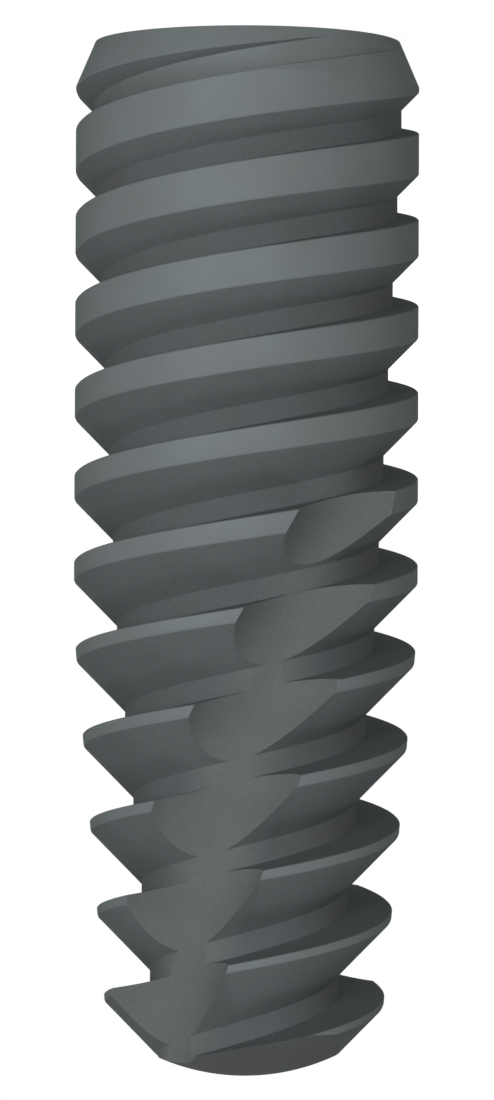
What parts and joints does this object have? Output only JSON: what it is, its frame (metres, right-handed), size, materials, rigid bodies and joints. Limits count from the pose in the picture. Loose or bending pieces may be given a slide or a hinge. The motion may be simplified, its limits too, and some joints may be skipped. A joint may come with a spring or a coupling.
{
  "type": "dental implant",
  "caption": "Tapered, threaded dental implant with a bevelled neck, a buttress thread, cutting flutes, a domed tip and an internal hexagonal connection.",
  "frame": {"origin": "centre of the platform, the flat ring at the neck's end, which the part stands on", "axes": "+Z along the screw's axis from the platform to the domed tip; -Y is the front, the side that the picture shows"},
  "size_m": [0.0042, 0.0042, 0.0126],
  "materials": {
    "blasted_titanium": "blasted and etched titanium, matt, grey with a slight green-blue cast"
  },
  "bodies": {
    "root": {"implant_body": "blasted_titanium"}
  },
  "joints": []
}
